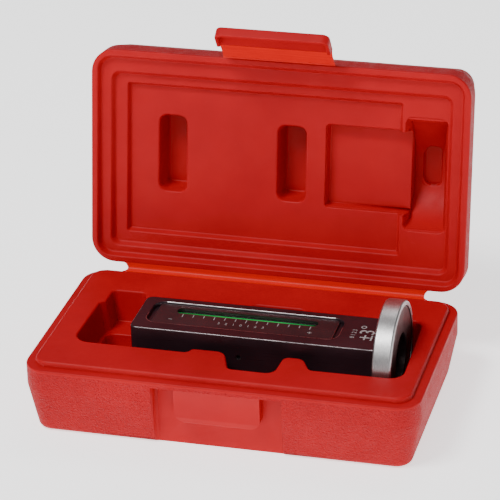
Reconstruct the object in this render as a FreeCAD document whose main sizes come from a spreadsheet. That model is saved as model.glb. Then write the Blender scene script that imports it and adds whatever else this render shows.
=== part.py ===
import FreeCAD, Part
import math
import os

V = FreeCAD.Vector
X_AXIS = V(1, 0, 0)
Z_AXIS = V(0, 0, 1)

os.makedirs("parts", exist_ok=True)
doc = FreeCAD.newDocument("camber_caster_gauge")

# Driving dimensions, in millimetres and degrees
SIZES = [
    ("case_length", 221.0), ("case_depth", 127.1), ("corner_radius", 14.0),
    ("rim_height", 40.0), ("band_height", 12.7), ("side_draft", 5.6),
    ("shell_wall", 2.0), ("tray_wall", 1.6), ("rim_plate", 1.8), ("foot_round", 4.0),
    ("deck_raise", 3.25), ("deck_inset", 4.8), ("deck_top_inset", 5.5),
    ("cradle_floor", 24.6), ("cavity_draft", 2.6),
    ("catch_half_width", 24.0), ("catch_low", 16.3), ("catch_front", -62.0), ("catch_round", 6.0),
    ("recess_half_width", 36.5), ("recess_back", -55.5), ("recess_top", 36.6),
    ("lid_depth", 37.0), ("lid_gap", 0.15), ("lid_rest_angle", 98.9), ("web_length", 6.9),
    ("web_thick", 0.8), ("web_half_width", 89.0),
    ("lid_step_one", 4.0), ("lid_step_two", 7.5), ("lid_step_three", 11.0),
    ("lid_square_depth", 18.0), ("lid_slot_depth", 26.0), ("lid_ring_radius", 34.0),
    ("latch_half_width", 32.7), ("latch_length", 27.5), ("latch_web_length", 12.3), ("latch_lip", 3.4),
    ("latch_thick", 2.4), ("latch_rest_angle", 46.1),
    ("gauge_mid_y", -2.2), ("gauge_top", 50.2), ("bar_width", 38.0), ("bar_thick", 25.4),
    ("bar_start", -60.5), ("bar_length", 139.4), ("bar_end_round", 4.0), ("bar_edge", 0.6),
    ("plate_mid_x", 0.6), ("plate_shift", 1.3), ("plate_pocket_length", 109.0),
    ("plate_pocket_width", 24.6), ("plate_pocket_round", 6.0), ("plate_pocket_depth", 2.4),
    ("plate_length", 103.0), ("plate_width", 24.3), ("plate_round", 2.0), ("plate_thick", 1.5),
    ("window_length", 81.0), ("window_width", 6.2), ("vial_shift", 6.6),
    ("vial_radius", 4.4), ("vial_bore", 3.2), ("vial_length", 88.0), ("plug_length", 2.6),
    ("trough_clearance", 0.15), ("bubble_length", 6.6), ("bubble_radius", 2.5), ("bubble_rest", -3.0),
    ("disc_radius", 31.75), ("disc_thick", 10.6), ("cup_base", 3.6), ("cup_rim_inner", 28.6),
    ("magnet_outer", 28.5), ("magnet_inner", 13.5), ("magnet_sink", 0.5), ("cup_edge", 0.8),
    ("screw_radius", 3.0), ("screw_length", 14.0), ("screw_head_radius", 5.25), ("screw_head", 3.3),
    ("washer_radius", 6.5), ("washer_thick", 1.0), ("dowel_radius", 2.0), ("dowel_length", 8.0),
    ("dowel_pitch", 20.0), ("grub_radius", 1.5), ("grub_length", 7.0), ("grub_x", 1.7),
]
sheet = doc.addObject("Spreadsheet::Sheet", "sizes")
for row, (name, value) in enumerate(SIZES, start=1):
    sheet.set("A%d" % row, name)
    sheet.set("B%d" % row, str(value))
    sheet.setAlias("B%d" % row, name)
doc.recompute()
S = {name: float(sheet.get(name)) for name, value in SIZES}


# Outlines with rounded corners, moved inwards by an inset
def signed_area(points):
    pairs = zip(points, points[1:] + points[:1])
    return 0.5 * sum(a[0] * b[1] - b[0] * a[1] for a, b in pairs)


def inset_corners(points, inset):
    result = []
    count = len(points)
    for i in range(count):
        before, here, after = points[i - 1], points[i], points[(i + 1) % count]
        first = V(here[0] - before[0], here[1] - before[1], 0).normalize()
        second = V(after[0] - here[0], after[1] - here[1], 0).normalize()
        normal_a = V(-first.y, first.x, 0)
        normal_b = V(-second.y, second.x, 0)
        turn = first.cross(second).z
        reach = inset / (1.0 + normal_a.dot(normal_b))
        corner = V(here[0], here[1], 0) + (normal_a + normal_b) * reach
        result.append((corner, first, second, turn))
    return result


def outline(points, radii, inset, height):
    if signed_area(points) < 0:
        raise ValueError("outline has to run anticlockwise")
    marks = []
    for (corner, first, second, turn), radius in zip(inset_corners(points, inset), radii):
        size = radius - inset if turn > 0 else radius + inset
        size = max(size, 0.25)
        angle = first.getAngle(second)
        back = size * math.tan(angle / 2.0)
        start = corner - first * back
        stop = corner + second * back
        middle_dir = (second - first).normalize()
        middle = corner + middle_dir * (size / math.cos(angle / 2.0) - size)
        marks.append((start, middle, stop))
    lift = V(0, 0, height)
    edges = []
    for i, (start, middle, stop) in enumerate(marks):
        following = marks[(i + 1) % len(marks)][0]
        edges.append(Part.Arc(start + lift, middle + lift, stop + lift).toShape())
        if (following - stop).Length > 1e-6:
            edges.append(Part.LineSegment(stop + lift, following + lift).toShape())
    return Part.Wire(edges)


def stack(points, radii, levels):
    wires = [outline(points, radii, inset, height) for inset, height in levels]
    return Part.makeLoft(wires, True, True)


def frustum(points, radii, low, high):
    return stack(points, radii, [low, high])


# A hollow with a rounded lip at its mouth and a rounded foot at its floor
def rounded_levels(floor, mouth, floor_inset, mouth_inset, foot, lip, over):
    way = 1.0 if mouth > floor else -1.0
    levels = [(floor_inset + foot, floor)]
    if foot:
        levels.append((floor_inset + 0.293 * foot, floor + way * 0.293 * foot))
        levels.append((floor_inset, floor + way * foot))
    if lip:
        levels.append((mouth_inset, mouth - way * lip))
        levels.append((mouth_inset - 0.293 * lip, mouth - way * 0.293 * lip))
    levels.append((mouth_inset - lip, mouth))
    if over:
        levels.append((mouth_inset - lip, mouth + way * over))
    return levels


def rectangle(x_low, x_high, y_low, y_high):
    return [(x_low, y_low), (x_high, y_low), (x_high, y_high), (x_low, y_high)]


def box(low, high):
    size = V(*high) - V(*low)
    return Part.makeBox(size.x, size.y, size.z, V(*low))


def joined(shapes):
    return shapes[0].multiFuse(shapes[1:]).removeSplitter()


def feature(name, shape):
    obj = doc.addObject("Part::Feature", name)
    obj.Label = name
    obj.Shape = shape
    return obj


HALF = S["case_length"] / 2.0
DEEP = S["case_depth"] / 2.0
RIM = S["rim_height"]
CASE = rectangle(-HALF, HALF, -DEEP, DEEP)
CASE_RADII = [S["corner_radius"]] * 4


# Case base: the outer wall
def drafted_block(inset, bottom, top):
    band = RIM - S["band_height"]
    draft = S["side_draft"]
    low_inset = inset + draft * (band - bottom) / band
    lower = frustum(CASE, CASE_RADII, (low_inset, bottom), (inset, band))
    upper = frustum(CASE, CASE_RADII, (inset, band), (inset, top))
    return joined([lower, upper])


def rounded_bottom(block, level, radius):
    edges = [e for e in block.Edges if all(abs(v.Z - level) < 1e-6 for v in e.Vertexes)]
    return block.makeFillet(radius, edges)


def catch_block(shrink):
    half = S["catch_half_width"] - shrink
    low = S["catch_low"] + shrink
    points = [(-half, low), (half, low), (half, S["recess_top"] + 1), (-half, S["recess_top"] + 1)]
    wire = outline(points, [S["catch_round"], S["catch_round"], 0.5, 0.5], 0, 0)
    face = Part.Face(wire)
    block = face.extrude(V(0, 0, S["recess_back"] - S["catch_front"] + 4))
    block.rotate(V(0, 0, 0), X_AXIS, 90)
    block.translate(V(0, S["recess_back"] + 4 + shrink, 0))
    return block


def base_shell():
    wall = S["shell_wall"]
    top = RIM - S["rim_plate"]
    outer = rounded_bottom(drafted_block(0, 0, top), 0, S["foot_round"])
    inner = rounded_bottom(drafted_block(wall, wall, top + 1), wall, S["foot_round"] - 1)
    half = S["recess_half_width"]
    recess = box((-half, -DEEP - 5, -5), (half, S["recess_back"], S["recess_top"]))
    sides = [e for e in recess.Edges if e.Length > 40 and abs(e.Vertexes[0].Y - S["recess_back"]) < 1e-6
             and abs(e.Vertexes[1].Y - S["recess_back"]) < 1e-6 and abs(e.Vertexes[0].X - e.Vertexes[1].X) < 1e-6]
    recess = recess.makeFillet(2.0, sides)
    lining = box((-half - wall, -DEEP - 5, -5), (half + wall, S["recess_back"] + wall, top + 2))
    recess = recess.cut(catch_block(0))
    lining = lining.cut(catch_block(wall))
    return outer.cut(recess).cut(inner.cut(lining)).removeSplitter()


# Case base: the tray with its cavity
CAVITY = [
    (-90.3, -30.6, 9.0), (-24.6, -30.9, 3.4), (-23.0, -26.4, 2.4), (-4.4, -26.2, 7.0),
    (2.0, -44.6, 3.6), (27.4, -44.9, 5.5), (28.6, -25.3, 4.0), (39.6, -25.0, 6.0),
    (45.6, -37.0, 3.6), (96.5, -36.7, 8.0), (94.6, 31.4, 7.0), (71.8, 31.4, 3.2),
    (71.8, 26.4, 2.4), (44.5, 26.4, 3.4), (42.5, 21.6, 3.0), (29.0, 21.6, 3.0),
    (26.0, 32.2, 3.6), (-3.0, 32.2, 3.6), (-6.0, 21.8, 3.0), (-23.0, 21.8, 3.0),
    (-25.0, 26.4, 3.4), (-65.6, 26.4, 3.0), (-67.0, 33.4, 3.4), (-86.5, 33.4, 3.4),
    (-86.5, 19.2, 1.9), (-89.4, 16.6, 3.0),
]
CAVITY_POINTS = [(x, y) for x, y, r in CAVITY]
CAVITY_RADII = [r for x, y, r in CAVITY]
DECK = RIM + S["deck_raise"]


def disc_slot(x_low, x_high, radius, top):
    mid_y = S["gauge_mid_y"]
    mid_z = S["gauge_top"] - S["bar_thick"] / 2.0
    near, far = mid_y - radius, mid_y + radius
    a, b, c = V(x_low, near, mid_z), V(x_low, mid_y, mid_z - radius), V(x_low, far, mid_z)
    d, e = V(x_low, far, top), V(x_low, near, top)
    sides = [Part.LineSegment(c, d), Part.LineSegment(d, e), Part.LineSegment(e, a)]
    wire = Part.Wire([Part.Arc(a, b, c).toShape()] + [side.toShape() for side in sides])
    return Part.Face(wire).extrude(V(x_high - x_low, 0, 0))


def cavity(grow):
    floor = S["cradle_floor"] - grow
    draft = S["cavity_draft"]
    pocket = rectangle(-85.2, -64.0, -25.5, 15.0)
    front = rectangle(4.2, 24.8, -40.0, -23.0)
    rear = rectangle(1.0, 22.0, 19.0, 28.0)
    slot_top = DECK - (grow or 1.4)
    parts = [disc_slot(74.6 - grow, 93.2 + grow, S["disc_radius"] + 0.9 + grow, slot_top)]
    if grow:
        parts.append(frustum(CAVITY_POINTS, CAVITY_RADII, (draft - grow, floor), (-grow, DECK - grow)))
        parts.append(frustum(pocket, [6.0] * 4, (1.6 - grow, 9.0 - grow), (-grow, floor + 0.5)))
        parts.append(frustum(front, [5.0] * 4, (1.2 - grow, 17.0 - grow), (-grow, floor + 0.5)))
        parts.append(frustum(rear, [4.5] * 4, (1.2 - grow, 17.0 - grow), (-grow, floor + 0.5)))
        return joined(parts)
    cradle = rounded_levels(floor, DECK, draft, 0.0, 1.0, 1.2, 0.01)
    parts.append(stack(CAVITY_POINTS, CAVITY_RADII, cradle))
    parts.append(stack(pocket, [6.0] * 4, rounded_levels(9.0, floor, 1.6, 0.0, 2.0, 0.9, 0.5)))
    parts.append(stack(front, [5.0] * 4, rounded_levels(17.0, floor, 1.2, 0.0, 1.5, 0.0, 0.5)))
    parts.append(stack(rear, [4.5] * 4, rounded_levels(17.0, floor, 1.2, 0.0, 1.5, 0.0, 0.5)))
    return joined(parts)


def base_tray():
    wall = S["tray_wall"]
    flange = stack(CASE, CASE_RADII, [
        (0.0, RIM - S["rim_plate"]), (0.0, RIM - 0.9), (0.26, RIM - 0.26), (0.9, RIM)])
    inset = S["deck_inset"]
    crown = S["deck_top_inset"] - 0.2
    rise = stack(CASE, CASE_RADII, [
        (inset, RIM - S["rim_plate"]), (crown, DECK - 1.5), (crown + 0.44, DECK - 0.44), (crown + 1.5, DECK)])
    under = frustum(CASE, CASE_RADII, (inset + wall, RIM - 5), (S["deck_top_inset"] + wall, DECK - wall))
    skin = joined([flange, rise]).cut(under)
    body = joined([skin, cavity(wall)]).cut(cavity(0))
    pad = frustum(rectangle(-79.5, -73.5, -17.0, 5.0), [2.9] * 4, (0, 8.5), (0.6, 12.0))
    return joined([body, pad])


# Case lid, first built shut and then opened about the hinge
PIVOT_Y = DEEP + S["web_length"] / 2.0
LID = RIM + S["lid_gap"]


def lid_rectangle(x_low, x_high, v_low, v_high):
    return rectangle(x_low, x_high, DEEP - v_high, DEEP - v_low)


def lid_step(points, radii, depth_low, depth_high, slope, grow):
    low = (-grow, LID + depth_low)
    high = (slope - grow, LID + depth_high + grow)
    return frustum(points, radii, low, high)


def lid_dish(points, radii, depth_low, depth_high, slope, foot, lip, over):
    levels = rounded_levels(LID + depth_high, LID + depth_low, slope, 0.0, foot, lip, over)
    return stack(points, radii, levels[::-1])


def lid_hollow(grow):
    one, two, three = S["lid_step_one"], S["lid_step_two"], S["lid_step_three"]
    mid_y = S["gauge_mid_y"]
    mid_z = S["gauge_top"] - S["bar_thick"] / 2.0
    edge = 4.0
    rim_hole = rectangle(-HALF + edge, HALF - edge, -DEEP + edge, DEEP - edge)
    rim_radii = [8.5] * 4
    square = lid_rectangle(26.0, 78.0, 41.3, 90.2)
    ring = rectangle(72.6, 96.6, mid_y - 33.2, mid_y + 33.2)
    parts = []
    if grow:
        parts.append(lid_step(rim_hole, rim_radii, 0.0, one, 0.8, grow))
    else:
        parts.append(lid_dish(rim_hole, rim_radii, 0.0, one, 0.8, 1.3, 1.0, 0.01))
    wide = lid_rectangle(-99.2, 99.2, 9.6, 113.2)
    inner = lid_rectangle(-90.6, 70.2, 17.7, 106.4)
    holes = [(wide, 5.0, one, two, 0.9, 1.2, 1.3), (inner, 1.2 + grow, two, three, 0.8, 0.9, 1.1)]
    for x_low, x_high, v_low, v_high in ((-72.6, -56.4, 42.8, 88.0), (-2.3, 14.3, 42.8, 87.2)):
        slot = lid_rectangle(x_low, x_high, v_low, v_high)
        holes.append((slot, 4.6, three, S["lid_slot_depth"], 1.6, 1.5, 1.3))
    holes.append((ring, 4.0, two, two + 7.5, 1.8, 1.0, 0.9))
    for points, radius, low, high, slope, foot, lip in holes:
        if grow:
            parts.append(lid_step(points, [radius] * 4, low - 0.5, high, slope, grow))
        else:
            parts.append(lid_dish(points, [radius] * 4, low, high, slope, foot, lip, 0.5))
    passage = lid_rectangle(60.0, 78.0, 41.3, 90.2)
    parts.append(lid_step(passage, [2.2] * 4, two - 0.5, three, 0.0, grow))
    if grow:
        parts.append(lid_step(square, [2.2] * 4, three - 0.5, S["lid_square_depth"], 0.9, grow))
    else:
        parts.append(lid_dish(square, [2.2] * 4, three, S["lid_square_depth"], 0.9, 0.8, 0.0, 0.5))
        lipped = lid_dish(square, [2.2] * 4, three, three + 2.0, 0.0, 0.0, 0.8, 0.5)
        parts.append(lipped.common(box((0, -80, LID), (68.5, 80, LID + 30))))
    drum = Part.makeCylinder(S["lid_ring_radius"] + grow, 20.0 + 2 * grow, V(74.6 - grow, mid_y, mid_z), X_AXIS)
    parts.append(drum.common(box((60, -80, LID + two), (110, 80, 200))))
    dimple = rectangle(79.2, 91.6, mid_y - 12.0, mid_y + 12.0)
    top = mid_z + S["lid_ring_radius"]
    parts.append(frustum(dimple, [5.0] * 4, (-grow, top - 4), (0.8 - grow, top + 2.2 + grow * 0.5)))
    return joined(parts)


def lid_panel():
    plate = S["rim_plate"]
    skin = stack(CASE, CASE_RADII, [(0.9, LID), (0.26, LID + 0.26), (0.0, LID + 0.9), (0.0, LID + plate)])
    return joined([skin, lid_hollow(S["tray_wall"])]).cut(lid_hollow(0))


def lid_shell():
    wall = S["shell_wall"]
    top = LID + S["lid_depth"]
    start = LID + S["rim_plate"]
    band = LID + S["band_height"]
    rate = S["side_draft"] / (RIM - S["band_height"])

    def block(radii, inset, low, high):
        lower = frustum(CASE, radii, (inset, low), (inset, band))
        upper = frustum(CASE, radii, (inset, band), (inset + rate * (high - band), high))
        return joined([lower, upper])

    outer = rounded_bottom(block(CASE_RADII, 0, start, top), top, S["foot_round"])
    inner_radii = [S["corner_radius"] - 1.5] * 4
    inner = block(inner_radii, wall, start - 1, top - wall)
    inner = rounded_bottom(inner, top - wall, S["foot_round"] - 1)
    return outer.cut(inner).removeSplitter()


def opened(shape):
    turned = shape.copy()
    turned.rotate(V(0, PIVOT_Y, RIM), X_AXIS, -S["lid_rest_angle"])
    return turned


# Living hinge between the two halves
def hinge_web():
    thick = S["web_thick"]
    half = S["web_half_width"]
    low = box((-half, DEEP, RIM - thick), (half, PIVOT_Y, RIM))
    high = box((-half, DEEP, LID), (half, PIVOT_Y, LID + thick))
    rod = Part.makeCylinder(0.62, 2 * half, V(-half, PIVOT_Y, RIM), X_AXIS)
    rod = rod.cut(box((-half - 1, DEEP - 5, RIM), (half + 1, PIVOT_Y - 0.01, RIM + 5)))
    return joined([low, opened(high), rod])


# Latch, built hanging shut, then swung open on the lid
def latched(shape):
    turned = shape.copy()
    turned.rotate(V(0, -DEEP, LID), X_AXIS, -S["latch_rest_angle"])
    return opened(turned)


def latch_web():
    half = S["latch_half_width"] - 0.5
    thick = S["web_thick"]
    strip = box((-half, -DEEP - 0.4 - thick, LID - S["latch_web_length"]), (half, -DEEP - 0.4, LID))
    root = box((-half, -DEEP - 0.9, LID + 0.2), (half, -DEEP, LID + 1.1))
    return joined([latched(strip), opened(root)])


def latch_flap():
    half = S["latch_half_width"]
    start = LID - S["latch_web_length"]
    end = LID - S["latch_length"]
    inner = -DEEP - 0.4
    outer = inner - S["latch_thick"]
    points = [(-half, end), (half, end), (half, start), (-half, start)]
    face = Part.Face(outline(points, [4.0, 4.0, 1.6, 1.6], 0, 0))
    slab = face.extrude(V(0, 0, inner - outer))
    slab.rotate(V(0, 0, 0), X_AXIS, 90)
    slab.translate(V(0, inner, 0))
    lip = face.extrude(V(0, 0, S["latch_lip"]))
    core = Part.Face(outline(points, [4.0, 4.0, 1.6, 1.6], 2.0, 0)).extrude(V(0, 0, S["latch_lip"]))
    lip = lip.cut(core)
    trim = Part.makeBox(2 * half + 2, 12, 8, V(-half - 1, start - 3.0, -1))
    lip = lip.cut(trim)
    lip.rotate(V(0, 0, 0), X_AXIS, 90)
    lip.translate(V(0, inner + S["latch_lip"], 0))
    return joined([slab, lip])


feature("case_base_shell", base_shell())
feature("case_base_tray", base_tray())
feature("hinge_web", hinge_web())
feature("lid_shell", opened(lid_shell()))
feature("lid_panel", opened(lid_panel()))
feature("latch_web", latch_web())
feature("latch_flap", latched(latch_flap()))


# Sketch and body helpers for the gauge
def new_body(name):
    body = doc.addObject("PartDesign::Body", name + "_body")
    body.Label = name
    return body


def plane(body, role):
    for item in body.Origin.OriginFeatures:
        if item.Role == role:
            return item
    raise ValueError(role)


def new_sketch(body, role, name, offset, turn=None):
    sketch = body.newObject("Sketcher::SketchObject", name)
    sketch.AttachmentSupport = [(plane(body, role), "")]
    sketch.MapMode = "FlatFace"
    for axis, formula in zip("xyz", offset):
        if formula:
            sketch.setExpression(".AttachmentOffset.Base." + axis, formula)
    if turn:
        sketch.AttachmentOffset = FreeCAD.Placement(sketch.AttachmentOffset.Base, turn)
    return sketch


def add_rectangle(sketch, width, height):
    import Sketcher
    corners = [V(-5, -5, 0), V(5, -5, 0), V(5, 5, 0), V(-5, 5, 0)]
    first = sketch.GeometryCount
    for a, b in zip(corners, corners[1:] + corners[:1]):
        sketch.addGeometry(Part.LineSegment(a, b), False)
    con = Sketcher.Constraint
    for i in range(4):
        sketch.addConstraint(con("Coincident", first + i, 2, first + (i + 1) % 4, 1))
    for i in (0, 2):
        sketch.addConstraint(con("Horizontal", first + i))
    for i in (1, 3):
        sketch.addConstraint(con("Vertical", first + i))
    sketch.addConstraint(con("Symmetric", first, 1, first + 1, 2, -1, 1))
    across = sketch.addConstraint(con("DistanceX", first, 1, first, 2, 10.0))
    tall = sketch.addConstraint(con("DistanceY", first + 1, 1, first + 1, 2, 10.0))
    sketch.setExpression("Constraints[%d]" % across, width)
    sketch.setExpression("Constraints[%d]" % tall, height)
    return sketch


def add_circle(sketch, radius, x=None, y=None):
    import Sketcher
    con = Sketcher.Constraint
    index = sketch.addGeometry(Part.Circle(V(x or 0, y or 0, 0), Z_AXIS, 2.0), False)
    if x is None:
        sketch.addConstraint(con("Coincident", index, 3, -1, 1))
    else:
        sketch.addConstraint(con("DistanceX", -1, 1, index, 3, float(x)))
        sketch.addConstraint(con("DistanceY", -1, 1, index, 3, float(y)))
    size = sketch.addConstraint(con("Radius", index, 2.0))
    sketch.setExpression("Constraints[%d]" % size, radius)
    return index


def pad(body, sketch, name, length, reverse=False):
    item = body.newObject("PartDesign::Pad", name)
    item.Profile = sketch
    item.setExpression("Length", length)
    item.Reversed = reverse
    return item


def pocket(body, sketch, name, length, reverse=False):
    item = body.newObject("PartDesign::Pocket", name)
    item.Profile = sketch
    item.setExpression("Length", length)
    item.Reversed = reverse
    return item


def round_edges(body, source, name, radius, chooser):
    doc.recompute()
    names = ["Edge%d" % (i + 1) for i, e in enumerate(source.Shape.Edges) if chooser(e)]
    item = body.newObject("PartDesign::Fillet", name)
    item.Base = (source, names)
    item.setExpression("Radius", radius)
    return item


def along(edge, axis):
    if len(edge.Vertexes) < 2:
        return False
    span = edge.Vertexes[1].Point - edge.Vertexes[0].Point
    return abs(abs(span.normalize().dot(axis)) - 1.0) < 1e-6


TOP = "sizes.gauge_top"
LOW = "sizes.gauge_top - sizes.bar_thick"
MID_Z = "sizes.gauge_top - sizes.bar_thick / 2"
MID_Y = "sizes.gauge_mid_y"
PLATE_X = "sizes.plate_mid_x"
PLATE_Y = "sizes.gauge_mid_y + sizes.plate_shift"
VIAL_Y = "sizes.gauge_mid_y + sizes.vial_shift"
FACE_X = "sizes.bar_start + sizes.bar_length + sizes.disc_thick"
BACK_X = "sizes.bar_start + sizes.bar_length"


# Bar: a solid anodised bar with a plate pocket and a vial trough on its two broad faces
def gauge_bar():
    body = new_body("gauge_bar")
    section = new_sketch(body, "XY_Plane", "bar_section",
                         ("sizes.bar_start + sizes.bar_length / 2", MID_Y, LOW))
    add_rectangle(section, "sizes.bar_length", "sizes.bar_width")
    block = pad(body, section, "bar_block", "sizes.bar_thick")
    left = S["bar_start"]
    rounded = round_edges(body, block, "bar_ends", "sizes.bar_end_round",
                          lambda e: along(e, Z_AXIS) and abs(e.Vertexes[0].X - left) < 1e-4)
    rounded = round_edges(body, rounded, "bar_long_edges", "sizes.bar_edge",
                          lambda e: along(e, X_AXIS))
    for side, height, flip in (("camber", TOP, False), ("caster", LOW, True)):
        shape = new_sketch(body, "XY_Plane", side + "_pocket_sketch", (PLATE_X, PLATE_Y, height))
        add_rectangle(shape, "sizes.plate_pocket_length", "sizes.plate_pocket_width")
        cut = pocket(body, shape, side + "_pocket", "sizes.plate_pocket_depth", flip)
        doc.recompute()
        ends = (S["plate_mid_x"] - S["plate_pocket_length"] / 2, S["plate_mid_x"] + S["plate_pocket_length"] / 2)
        level = S["gauge_top"] if side == "camber" else S["gauge_top"] - S["bar_thick"]
        rounded = round_edges(body, cut, side + "_pocket_corners", "sizes.plate_pocket_round",
                              lambda e: along(e, Z_AXIS) and min(abs(e.Vertexes[0].X - x) for x in ends) < 1e-4
                              and min(abs(v.Z - level) for v in e.Vertexes) < 1e-4)
        trough = new_sketch(body, "XY_Plane", side + "_trough_sketch", (PLATE_X, VIAL_Y, height))
        add_rectangle(trough, "sizes.vial_length + 2 * sizes.plug_length + 1",
                      "2 * sizes.vial_radius + 2 * sizes.trough_clearance")
        pocket(body, trough, side + "_trough",
               "sizes.plate_pocket_depth + 2 * sizes.vial_radius + 2 * sizes.trough_clearance", flip)
    tapped = new_sketch(body, "YZ_Plane", "end_hole_sketch", (MID_Y, MID_Z, BACK_X))
    add_circle(tapped, "sizes.screw_radius")
    pocket(body, tapped, "end_hole", "sizes.screw_length - sizes.cup_base + 1")
    pins = new_sketch(body, "YZ_Plane", "dowel_sketch", (MID_Y, MID_Z, BACK_X))
    add_circle(pins, "sizes.dowel_radius", S["dowel_pitch"] / 2, 0)
    add_circle(pins, "sizes.dowel_radius", -S["dowel_pitch"] / 2, 0)
    pocket(body, pins, "dowel_holes", "sizes.dowel_length - sizes.cup_base + 1")
    for side, flip, y in (("front", False, "sizes.bar_width / 2 - sizes.gauge_mid_y"),
                          ("rear", True, "-sizes.gauge_mid_y - sizes.bar_width / 2")):
        hole = new_sketch(body, "XZ_Plane", side + "_grub_sketch", ("sizes.grub_x", MID_Z, y))
        add_circle(hole, "sizes.grub_radius")
        pocket(body, hole, side + "_grub_hole", "sizes.grub_length + 0.8", flip)
    doc.recompute()
    return body


# Scale plate with its vial window
def scale_plate(name, height, flip):
    body = new_body(name)
    shape = new_sketch(body, "XY_Plane", name + "_sketch", (PLATE_X, PLATE_Y, height))
    add_rectangle(shape, "sizes.plate_length", "sizes.plate_width")
    block = pad(body, shape, name + "_block", "sizes.plate_thick", flip)
    rounded = round_edges(body, block, name + "_corners", "sizes.plate_round", lambda e: along(e, Z_AXIS))
    window = new_sketch(body, "XY_Plane", name + "_window_sketch", (PLATE_X, VIAL_Y, height))
    add_rectangle(window, "sizes.window_length", "sizes.window_width")
    cut = pocket(body, window, name + "_window", "sizes.plate_thick", not flip)
    round_edges(body, cut, name + "_window_ends", "sizes.window_width / 2 - 0.05",
                lambda e: along(e, Z_AXIS) and abs(abs(e.Vertexes[0].X - S["plate_mid_x"])
                                                  - S["window_length"] / 2) < 1e-4)
    doc.recompute()
    return body


# Vial tube, its two plugs and the bubble
def vial_height(side):
    drop = "(sizes.plate_pocket_depth + sizes.trough_clearance + sizes.vial_radius)"
    if side == "camber":
        return "sizes.gauge_top - " + drop
    return "sizes.gauge_top - sizes.bar_thick + " + drop


def x_cylinder(name, radius, length, start, y, z):
    item = doc.addObject("Part::Cylinder", name)
    item.Placement = FreeCAD.Placement(V(0, 0, 0), FreeCAD.Rotation(V(0, 1, 0), 90))
    item.setExpression("Radius", radius)
    item.setExpression("Height", length)
    item.setExpression(".Placement.Base.x", start)
    item.setExpression(".Placement.Base.y", y)
    item.setExpression(".Placement.Base.z", z)
    return item


def cut_of(name, base, tool):
    item = doc.addObject("Part::Cut", name + "_cut")
    item.Base = base
    item.Tool = tool
    item.Label = name
    return item


def vial(side):
    z = vial_height(side)
    start = "sizes.plate_mid_x - sizes.vial_length / 2"
    outer = x_cylinder(side + "_vial_outer", "sizes.vial_radius", "sizes.vial_length", start, VIAL_Y, z)
    inner = x_cylinder(side + "_vial_inner", "sizes.vial_bore", "sizes.vial_length", start, VIAL_Y, z)
    return cut_of(side + "_vial", outer, inner)


def plugs(side):
    z = vial_height(side)
    left = "sizes.plate_mid_x - sizes.vial_length / 2 - sizes.plug_length + 1.5"
    right = "sizes.plate_mid_x + sizes.vial_length / 2 - 1.5"
    items = []
    for end, start, cap in (("left", left, "sizes.plate_mid_x - sizes.vial_length / 2 - 1.1"),
                            ("right", right, "sizes.plate_mid_x + sizes.vial_length / 2")):
        stem = x_cylinder("%s_%s_stem" % (side, end), "sizes.vial_bore - 0.02",
                          "sizes.plug_length", start, VIAL_Y, z)
        head = x_cylinder("%s_%s_cap" % (side, end), "sizes.vial_radius", "1.1", cap, VIAL_Y, z)
        both = doc.addObject("Part::MultiFuse", "%s_%s_plug" % (side, end))
        both.Shapes = [stem, head]
        items.append(both)
    group = doc.addObject("Part::Compound", side + "_plugs")
    group.Links = items
    group.Label = side + "_vial_plugs"
    return group


def bubble(side):
    item = doc.addObject("Part::Ellipsoid", side + "_bubble_shape")
    item.Label = side + "_bubble"
    item.Placement = FreeCAD.Placement(V(0, 0, 0), FreeCAD.Rotation(V(0, 1, 0), 90))
    item.setExpression("Radius1", "sizes.bubble_length / 2")
    item.setExpression("Radius2", "sizes.bubble_radius")
    item.setExpression("Radius3", "sizes.bubble_radius")
    item.setExpression(".Placement.Base.x", "sizes.bubble_rest")
    item.setExpression(".Placement.Base.y", VIAL_Y)
    item.setExpression(".Placement.Base.z", vial_height(side) + " + 0.3")
    return item


gauge_bar()
scale_plate("camber_plate", TOP + " - sizes.plate_pocket_depth", False)
scale_plate("caster_plate", LOW + " + sizes.plate_pocket_depth", True)
for side in ("camber", "caster"):
    vial(side)
    plugs(side)
    bubble(side)


# Magnetic disc: turned steel cup, ring magnet, screw, washer, dowels
def magnet_cup():
    body = new_body("magnet_cup")
    disc = new_sketch(body, "YZ_Plane", "cup_sketch", (MID_Y, MID_Z, BACK_X))
    add_circle(disc, "sizes.disc_radius")
    block = pad(body, disc, "cup_block", "sizes.disc_thick")
    doc.recompute()
    rims = ["Edge%d" % (i + 1) for i, e in enumerate(block.Shape.Edges) if hasattr(e.Curve, "Radius")]
    bevel = body.newObject("PartDesign::Chamfer", "cup_edges")
    bevel.Base = (block, rims)
    bevel.setExpression("Size", "sizes.cup_edge")
    hollow = new_sketch(body, "YZ_Plane", "cup_hollow_sketch", (MID_Y, MID_Z, FACE_X))
    add_circle(hollow, "sizes.cup_rim_inner")
    pocket(body, hollow, "cup_hollow", "sizes.disc_thick - sizes.cup_base")
    hole = new_sketch(body, "YZ_Plane", "cup_hole_sketch", (MID_Y, MID_Z, FACE_X))
    add_circle(hole, "sizes.screw_radius + 0.2")
    pocket(body, hole, "cup_hole", "sizes.disc_thick")
    pins = new_sketch(body, "YZ_Plane", "cup_dowel_sketch", (MID_Y, MID_Z, FACE_X))
    add_circle(pins, "sizes.dowel_radius", S["dowel_pitch"] / 2, 0)
    add_circle(pins, "sizes.dowel_radius", -S["dowel_pitch"] / 2, 0)
    pocket(body, pins, "cup_dowel_holes", "sizes.disc_thick")
    doc.recompute()
    return body


def ring(name, outer, inner, start, length):
    big = x_cylinder(name + "_outer", outer, length, start, MID_Y, MID_Z)
    small = x_cylinder(name + "_inner", inner, length, start, MID_Y, MID_Z)
    return cut_of(name, big, small)


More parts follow.
